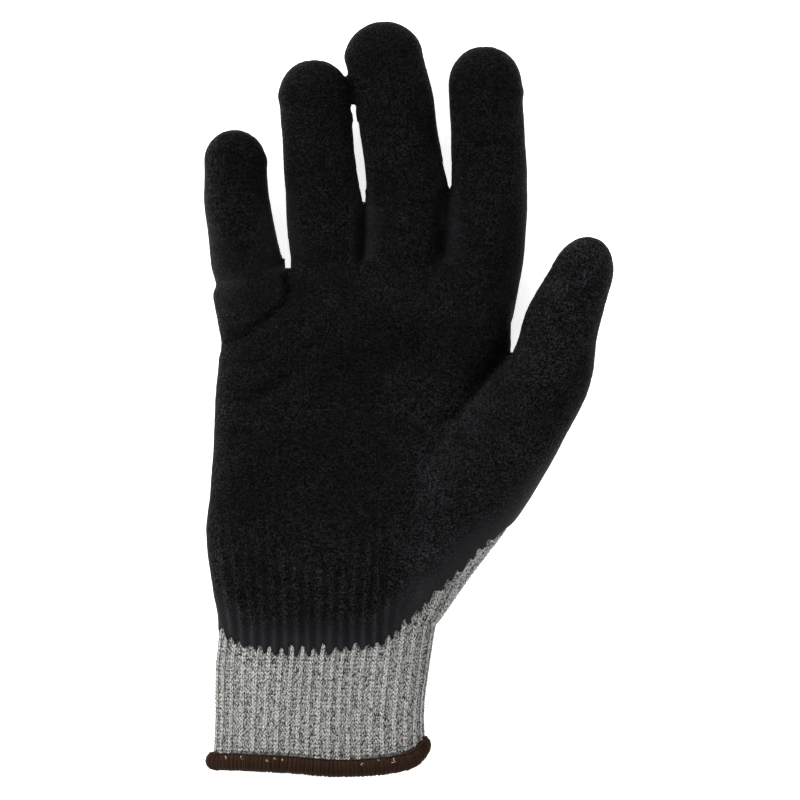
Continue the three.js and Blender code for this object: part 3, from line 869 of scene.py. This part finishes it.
def buildCoating(c, g):
    skin = fuse("latex_skin", gloveShells(g, c["gap"] + c["thickness"]), c["voxel"], c["smoothing"])
    mesh = skin.data
    fillRoots(c, mesh)
    points, normals = toGlove(readPoints(mesh)), readNormals(mesh)
    depth = coatDepth(c, points)
    rounding = np.sqrt(np.clip(1 - (1 - np.clip(depth / c["rim"], 0, 1)) ** 2, 0, 1))
    under = c["sink"] * smoothstep(0, -c["rim"] * .7, depth)
    height = (rounding - 1) * (c["thickness"] + .12) - under - c["taper"] * smoothstep(9, 1, depth)
    relief, ribs = skinRelief(c, points, normals)
    height += relief * smoothstep(0, 2.5, depth)
    writePoints(mesh, toFrame(foldPalm(c, points + normals * height[:, None])))
    giveValues(mesh, edge=np.clip(depth, 0, 30), ribs=ribs)
    giveGreyingAndSheen(c, mesh, points, normals)
    useTree(skin, crinkleTree(), {"Crinkle": c["crinkle"] / 1000, "Crinkle Scale": c["crinkleScale"],
                                  "Lumps": c["lumps"] / 1000, "Lump Scale": c["lumpScale"]})
    inner = fuse("coatingInside", gloveShells(g, c["gap"], c["mouth"]), c["innerVoxel"], c["innerSmoothing"])
    return keepLargest(cutGaps(c, cutAway(skin, foldLayer(inner))))


latex = buildCoating(coating, gloveForm)
print("latex coating:", triangles(latex), "triangles")


# Knitted liner
# Its skin lies just under the stitches.
liner = {
    "voxel": 1.5, "smoothing": 2, "innerVoxel": 2.2, "innerSmoothing": 1, "sunk": .5, "wall": 1.4, "mouth": 8,
}


def buildLiner(l, g):
    skin = fuse("knit_liner", gloveShells(g, -l["sunk"]), l["voxel"], l["smoothing"])
    inner = fuse("linerInside", gloveShells(g, -l["wall"], l["mouth"]), l["innerVoxel"], l["innerSmoothing"])
    return keepLargest(cutAway(foldLayer(skin), foldLayer(inner)))


knit = buildLiner(liner, gloveForm)
print("knitted liner:", triangles(knit), "triangles")


# Stitches of the liner
# Each stitch is a V of two yarn legs. The cells that hold them follow the form in wales and courses.
stitches = {
    "cuff": {"wales": 132, "course": 1.22, "raise": .33},
    "hand": {"wales": 104, "course": 1.5, "raise": .1},
    "fingers": {"wales": 34, "course": 1.42, "raise": .1},
    "thumb": {"wales": 36, "course": 1.42, "raise": .1},
    "sides": 4, "segments": 2, "raisedEvery": 3,
    "depth": -.32, "thick": .62, "width": .52, "length": 1.34, "apart": .235, "splay": .27, "out": .1,
    # how deep stitches may lie under the coating, in the hand and in a finger, and how high the hem reaches
    "hidden": 1.0, "inHand": .35, "inFinger": .5, "hemReach": 3.2, "seed": 11,
}
sectionKeys = ("x", "y", "z", "half", "rise", "hollow", "wave", "lean", "sag")


def evenSections(sections, spacing):
    # the same form with its sections a course apart along the skin
    table = np.array([[s[k] for k in sectionKeys] for s in sections])
    move = np.linalg.norm(np.diff(table[:, :3], axis=0), axis=1)
    narrow = np.abs(np.diff(table[:, 3:5], axis=0)).mean(1)
    arc = np.concatenate([[0], np.cumsum(np.hypot(move, narrow))])
    at = np.linspace(0, arc[-1], max(3, int(arc[-1] / spacing)))
    even = np.stack([np.interp(at, arc, table[:, k]) for k in range(table.shape[1])], 1)
    return [dict(zip(sectionKeys, row)) for row in even]


def insideForm(g, points, sections, margin):
    # whether points lie deeper than margin inside the form through these sections
    table = np.array([[s[k] for k in sectionKeys] for s in sections])
    lean = table[-1, 7]
    axis, side = np.array([math.sin(lean), math.cos(lean)]), np.array([math.cos(lean), -math.sin(lean)])
    along, place = table[:, :2] @ axis, points[:, :2] @ axis
    order = np.argsort(along)
    read = [np.interp(place, along[order], table[order, k]) for k in range(6)]
    across = (points[:, :2] - np.stack(read[:2], 1)) @ side
    half, rise = np.maximum(read[3] - margin, .05), np.maximum(read[4] - margin, .05)
    dip = read[5] * np.clip(1 - (across / half) ** 2, 0, 1) ** 2
    height = points[:, 2] - read[2]
    height = np.where(height > 0, height + dip, height)
    value = np.abs(across / half) ** g["sectionPower"] + np.abs(height / rise) ** g["sectionPower"]
    return (value < 1) & (place > along.min()) & (place < along.max() - margin)


def knitCells(g, st, kind, sections):
    # middle, way up the wale, way across, way out, width, height and wale of each cell of a form
    kind = st[kind]
    rings = evenSections(sections, kind["course"])
    lines = np.stack([ringPoints(g, s, st["depth"], kind["wales"]) for s in rings])
    lines[..., 2] = np.maximum(lines[..., 2], -st["depth"])
    after = np.roll(lines, -1, axis=1)
    corners = lines[:-1], after[:-1], after[1:], lines[1:]
    middle = sum(corners) / 4
    across = (corners[1] + corners[2] - corners[0] - corners[3]) / 2
    up = (corners[2] + corners[3] - corners[0] - corners[1]) / 2
    out = np.cross(up, across)
    out /= np.linalg.norm(out, axis=-1, keepdims=True) + 1e-9
    width, height = np.linalg.norm(across, axis=-1), np.linalg.norm(up, axis=-1)
    out *= np.sign((out * (middle - lines[:-1].mean(1, keepdims=True))).sum(-1, keepdims=True) + 1e-12)
    wale = np.broadcast_to(np.arange(kind["wales"]), width.shape)
    raised = wale % st["raisedEvery"] == 0
    middle = middle + out * np.where(raised, kind["raise"], -kind["raise"] * .5)[..., None]
    return [a.reshape(-1, *a.shape[2:]) for a in (middle, up, across, out, width, height, raised)]


def legCloud(name, st, cells):
    # a point for each yarn leg, with the leg's direction, size and colour
    middle, up, across, out, width, height, raised = cells
    rng = np.random.default_rng(st["seed"] + len(middle))
    up /= np.linalg.norm(up, axis=1, keepdims=True)
    across /= np.linalg.norm(across, axis=1, keepdims=True)
    points, aims, sizes, marls, tones = [], [], [], [], []
    for hand in (-1, 1):
        count = len(middle)
        lean = st["splay"] * rng.normal(1, .22, count)
        wander = rng.normal(0, .06, (count, 1))
        aim = up * height[:, None] + across * (hand * lean * width * 1.5)[:, None]
        aim += out * (st["out"] * height)[:, None]
        points.append(middle + across * (hand * st["apart"] * width)[:, None] + up * wander)
        aims.append(aim / np.linalg.norm(aim, axis=1, keepdims=True))
        swell = rng.normal(1, .09, count)
        long = st["length"] * height * rng.normal(1, .06, count)
        sizes.append(np.stack([st["width"] * width * swell, st["thick"] * swell, long], 1) / 1000)
        # legs in the raised wales get fewer black dashes and a lighter tone, legs in the sunk wales more
        # black and a darker tone: painted highlight on the raised wales and painted shade in the grooves
        marls.append(np.where(raised, .5, -.15) + rng.random(count))
        tones.append(np.where(raised, .5, 0) + .7 * rng.random(count))
    cloud = makePiece(name, toFrame(np.concatenate(points)), [])
    aims, sizes, marls, tones = [np.concatenate(a) for a in (aims, sizes, marls, tones)]
    giveValues(cloud.data, aim=aims, out=np.concatenate([out, out]), size=sizes, marl=marls, tone=tones)
    return cloud


def legTree():
    # a tapered, slightly bowed leg of yarn set on each point
    tree, given, result = newTree("yarn_legs", [
        ("Sides", "Int", 4), ("Segments", "Int", 3), ("Taper", "Float", .82), ("Bow", "Float", .16),
        ("Material", "Material", None)])
    take = given.outputs
    leg = addNode(tree, "GeometryNodeMeshCylinder", {
        "Vertices": take["Sides"], "Radius": .5, "Depth": 1.0, "Side Segments": take["Segments"]},
        fill_type="TRIANGLE_FAN")
    place = addNode(tree, "GeometryNodeInputPosition").outputs[0]
    x, y, z = addNode(tree, "ShaderNodeSeparateXYZ", {0: place}).outputs
    along = times(tree, z, 2.0)
    square = times(tree, along, along)
    full = calculate(tree, "SQRT", minus(tree, 1.0, times(tree, square, take["Taper"])))
    bow = times(tree, minus(tree, .5, square), take["Bow"])
    shaped = addNode(tree, "ShaderNodeCombineXYZ", {
        "X": times(tree, x, full), "Y": plus(tree, times(tree, y, full), bow), "Z": z}).outputs[0]
    leg = addNode(tree, "GeometryNodeSetPosition", {"Geometry": leg.outputs["Mesh"], "Position": shaped})
    leg = addNode(tree, "GeometryNodeSetShadeSmooth", {"Geometry": leg.outputs[0]})
    return setOnPoints(tree, given, result, leg.outputs[0], "Y")


def buildStitches(st, g, tree):
    hand = handSections(g, 0)
    forms = {"hand": hand, **{name: digitSections(g, d, 0) for name, d in digits.items()}}

    def showing(name, cells):
        points = cells[0]
        keep = coatDepth(coating, points) < st["hidden"]
        for other, sections in forms.items():
            if other != name and name != "cuff":
                keep &= ~insideForm(g, points, sections, st["inHand" if name == "hand" else "inFinger"])
        if name == "cuff":
            edge = hand[0]["y"] + hemHeight(np.arctan2(points[:, 2] - hand[0]["z"], points[:, 0] * .4))
            keep &= points[:, 1] > edge + st["hemReach"]
        return [a[keep] for a in cells]

    cuff, rest = [s for s in hand if s["y"] < .5], [s for s in hand if s["y"] >= -.5]
    jobs = {
        "cuff_stitches": [showing("cuff", knitCells(g, st, "cuff", cuff))],
        "hand_stitches": [showing("hand", knitCells(g, st, "hand", rest))],
        "finger_stitches": [
            showing(name, knitCells(g, st, "thumb" if name == "thumb" else "fingers", forms[name]))
            for name in digits],
    }
    made = []
    for name, groups in jobs.items():
        cloud = legCloud(name, st, [np.concatenate(parts) for parts in zip(*groups)])
        useTree(cloud, tree, {"Sides": st["sides"], "Segments": st["segments"], "Material": yarnMaterial})
        made.append(cloud)
        print(name + ":", triangles(cloud), "triangles")
    return made


yarnLegs = legTree()


stitchPieces = buildStitches(stitches, gloveForm, yarnLegs)


# Hem
hem = {
    "width": 3.0, "height": 3.1, "inset": -.7, "above": .5, "cornerReach": .7, "stations": 216,
    "slot": .98, "slotFloor": -.6, "core": .82, "coreTurn": (68, -248, 19), "coreTone": .1,
    "bundles": 118, "bundle": 3, "thread": .34, "slant": .16, "loopSides": 12, "seed": 5,
    "chainStitches": 150, "chainThick": .5, "chainOut": 1.5, "chainUp": .84,
    # x and height of each pair of pale yarn ends, then their width and thickness
    "yarnEnds": [
        (-34.6, 1.9), (-29.6, 1.2), (-25, 1.7), (-16.8, 1.4), (-14.6, 1.9), (-12, 1.5),
        (14.1, 1.1), (19.7, 1.7), (24, .6), (24.4, 1.3),
    ],
    "yarnEnd": (.26, .22),
}


def hemPath(h, g, count):
    # places, way round, way out and way up along the middle of the hem
    fine = ringPoints(g, handSections(g, 0)[0], h["inset"], 1200)
    fine[:, 1] += h["above"]
    fine[:, 0] -= h["cornerReach"] * smoothstep(-30, -35, fine[:, 0])
    closed = np.concatenate([fine, fine[:1]])
    arc = np.concatenate([[0], np.cumsum(np.linalg.norm(np.diff(closed, axis=0), axis=1))])
    at = np.arange(count) / count * arc[-1]
    places = np.stack([np.interp(at, arc, closed[:, k]) for k in range(3)], 1)
    round_ = np.roll(places, -1, axis=0) - np.roll(places, 1, axis=0)
    round_ /= np.linalg.norm(round_, axis=1, keepdims=True)
    out = np.cross((0, 1, 0), round_)
    out /= np.linalg.norm(out, axis=1, keepdims=True)
    out *= np.sign((out * (places - places.mean(0))).sum(1))[:, None]
    up = np.cross(out, round_)
    up *= np.sign(up[:, 1:2])
    return places, round_, out, up


def hemCore(h, g):
    # the folded edge under the threads, with the slot that the cuff's edge stands in
    wide, high, slot = h["width"] * h["core"], h["height"] * h["core"], h["slot"]
    ring = [(wide * math.cos(a), high * math.sin(a)) for a in np.radians(np.linspace(*h["coreTurn"]))]
    top = ring[-1][1]
    ring += [(-slot, top), (-slot, h["slotFloor"]), (slot, h["slotFloor"]), (slot, top)]
    places, _, out, up = hemPath(h, g, h["stations"])
    points = np.concatenate([places + a * out + b * up for a, b in ring])
    core = makePiece("hem_core", toFrame(points), bandFaces(len(ring), h["stations"], closed=True))
    faceOutward(core.data)
    giveValues(core.data, tone=h["coreTone"])
    core.data.materials.append(threadMaterial)
    shadeSmooth(core, 50)
    return core


def loopTree():
    # a loop of thread round the hem set on each point
    tree, given, result = newTree("hem_threads", [
        ("Width", "Float", .003), ("Height", "Float", .003), ("Thread", "Float", .0003),
        ("Loop Sides", "Int", 14), ("Material", "Material", None)])
    take = given.outputs
    line = addNode(tree, "GeometryNodeCurvePrimitiveCircle", {
        "Resolution": take["Loop Sides"], "Radius": 1.0})
    size = addNode(tree, "ShaderNodeCombineXYZ", {
        "X": take["Width"], "Y": take["Height"], "Z": 0.0}).outputs[0]
    place = addNode(tree, "GeometryNodeInputPosition").outputs[0]
    loop = addNode(tree, "GeometryNodeSetPosition", {
        "Geometry": line.outputs[0], "Position": calculateVector(tree, "MULTIPLY", place, size)})
    profile = addNode(tree, "GeometryNodeCurvePrimitiveCircle", {"Resolution": 5, "Radius": take["Thread"]})
    tube = addNode(tree, "GeometryNodeCurveToMesh", {
        "Curve": loop.outputs[0], "Profile Curve": profile.outputs[0]})
    tube = addNode(tree, "GeometryNodeSetShadeSmooth", {"Geometry": tube.outputs[0]})
    return setOnPoints(tree, given, result, tube.outputs[0], "X")


def hemLoops(h, g, rng):
    places, round_, out, up = hemPath(h, g, h["bundles"] * h["bundle"])
    count = len(places)
    first = np.arange(count) % h["bundle"] == 0   # a gap shows before each bundle of threads
    loops = makePiece("hem_threads", toFrame(places + round_ * rng.normal(0, .04, (count, 1))), [])
    aim = round_ + up * rng.normal(0, .03, (count, 1)) + out * rng.normal(h["slant"], .04, (count, 1))
    size = rng.normal(1, .012, count) * np.where(first, .93, 1)
    size *= np.repeat(rng.normal(1, .014, h["bundles"]), h["bundle"])
    # the first thread of each bundle is painted darker: painted shade in the gap before the bundle
    tone = np.where(first, .1, .3 + .7 * rng.random(count))
    giveValues(loops.data, aim=aim, out=out, size=size[:, None] * np.ones((1, 3)), tone=tone)
    useTree(loops, loopTree(), {
        "Width": (h["width"] - h["thread"]) / 1000, "Height": (h["height"] - h["thread"]) / 1000,
        "Thread": h["thread"] / 1000, "Loop Sides": h["loopSides"], "Material": threadMaterial})
    return loops


def hemChainAndShadow(h, g, rng):
    # the needle's chain along the hem's upper edge, in dark thread that also stands for the shadow along that
    # edge: partly real thread, partly painted shadow
    places, round_, out, up = hemPath(h, g, h["chainStitches"])
    count, gap = len(places), np.linalg.norm(places[1] - places[0])
    places = places + out * h["chainOut"] + up * (h["height"] * h["chainUp"])
    chain = makePiece("hem_chain_and_shadow", toFrame(places), [])
    aim = round_ + up * rng.normal(0, .12, (count, 1))
    size = np.array([[h["chainThick"], h["chainThick"], gap * 1.5]]) * rng.normal(1, .1, (count, 1)) / 1000
    giveValues(chain.data, aim=aim, out=out * .6 + up, size=size, tone=rng.random(count) * .3)
    useTree(chain, yarnLegs, {"Sides": 5, "Segments": 3, "Material": threadMaterial})
    return chain


def hemYarnEnds(h, g, rng):
    # the pale ends of cut yarn caught in the threads, two at each place
    places, round_, out, up = hemPath(h, g, 1000)
    spots, aims, outs, sizes = [], [], [], []
    for x, height in h["yarnEnds"]:
        i = int(np.argmin(np.abs(places[:, 0] - x) + 100 * (places[:, 2] < places[:, 2].mean())))
        proud = math.sqrt(max(.05, 1 - (height / h["height"]) ** 2)) * h["width"] - .05
        for _ in range(2):
            rise = height + rng.normal(0, .25)
            spots.append(places[i] + out[i] * proud + up[i] * rise + round_[i] * rng.normal(0, .3))
            aims.append(round_[i] * rng.normal(0, 1) + up[i] * rng.normal(0, 1))
            outs.append(out[i])
            sizes.append((*h["yarnEnd"], rng.uniform(.6, 1.1)))
    ends = makePiece("hem_yarn_ends", toFrame(spots), [])
    giveValues(ends.data, aim=aims, out=outs, size=np.array(sizes) / 1000, tone=rng.random(len(spots)))
    useTree(ends, yarnLegs, {"Sides": 5, "Segments": 4, "Material": yarnEndMaterial})
    return ends


def buildHem(h, g):
    rng = np.random.default_rng(h["seed"])
    return [hemCore(h, g), hemLoops(h, g, rng), hemChainAndShadow(h, g, rng), hemYarnEnds(h, g, rng)]


hemPieces = buildHem(hem, gloveForm)
print("hem:", [(p.name, triangles(p)) for p in hemPieces])


# Pieces on their body
for piece, material, slotName in ((latex, latexMaterial, "latex"), (knit, liningMaterial, "yarn")):
    piece.data.materials.clear()
    piece.data.materials.append(material)
    shadeSmooth(piece)
for piece in (latex, knit, *stitchPieces, *hemPieces):
    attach(piece, "root")
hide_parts(*[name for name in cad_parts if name.startswith("knit_")])
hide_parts("latex_coating")
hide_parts("hem")


# Floor, light and camera
studio = {
    "floor": 16.0, "floorDrop": -.0004, "floorColours": ((.9, .9, .9, 1), (.93, .93, .93, 1)),
    "floorGlow": .72, "world": (.9, .93, 1, 1), "worldStrength": .1,
    # place and size of each soft light in metres, and its watts
    "lights": [
        ((-.8, .4, .5), (.6, .6), 14), ((.85, .3, .5), (.7, .7), 6), ((.1, -.9, .55), (.8, .6), 7),
        ((-.1, .95, .5), (.8, .6), 9),
    ],
    "eye": (-.0028, -.0003, 4.428), "lens": 600, "sensor": 36,
}


def placeObject(name, data, place):
    item = bpy.data.objects.new(name, data)
    item.location = place
    bpy.context.scene.collection.objects.link(item)
    return item


def buildFloor(s):
    half = s["floor"] / 2
    corners = [(-half, -half, 0), (half, -half, 0), (half, half, 0), (-half, half, 0)]
    floor = makePiece("floor", corners, [(0, 1, 2, 3)])
    floor.location.z = s["floorDrop"]
    material, tree, shader, place = newMaterial("pale_floor", .9, .1)
    grain = ramp(tree, noiseValue(tree, place, 300.0, 2.0), .3, .7)
    tree.links.new(mixColour(tree, grain, *s["floorColours"]), shader.inputs["Base Color"])
    shader.inputs["Emission Color"].default_value = (1, 1, 1, 1)
    shader.inputs["Emission Strength"].default_value = s["floorGlow"]
    floor.data.materials.append(material)


def buildStudio(s):
    buildFloor(s)
    scene = bpy.context.scene
    scene.world = bpy.data.worlds.new("studio")
    scene.world.use_nodes = True
    sky = scene.world.node_tree.nodes["Background"]
    sky.inputs[0].default_value = s["world"]
    sky.inputs[1].default_value = s["worldStrength"]
    for i, (place, size, watts) in enumerate(s["lights"]):
        light = bpy.data.lights.new("softbox%d" % i, "AREA")
        light.shape, light.size, light.size_y, light.energy = "RECTANGLE", *size, watts
        lamp = placeObject("softbox%d" % i, light, place)
        lamp.rotation_euler = (-Vector(place)).to_track_quat("-Z", "Y").to_euler()
    camera = bpy.data.cameras.new("camera")
    camera.lens, camera.sensor_width = s["lens"], s["sensor"]
    scene.camera = placeObject("camera", camera, s["eye"])
    scene.view_settings.view_transform = "Standard"


buildStudio(studio)
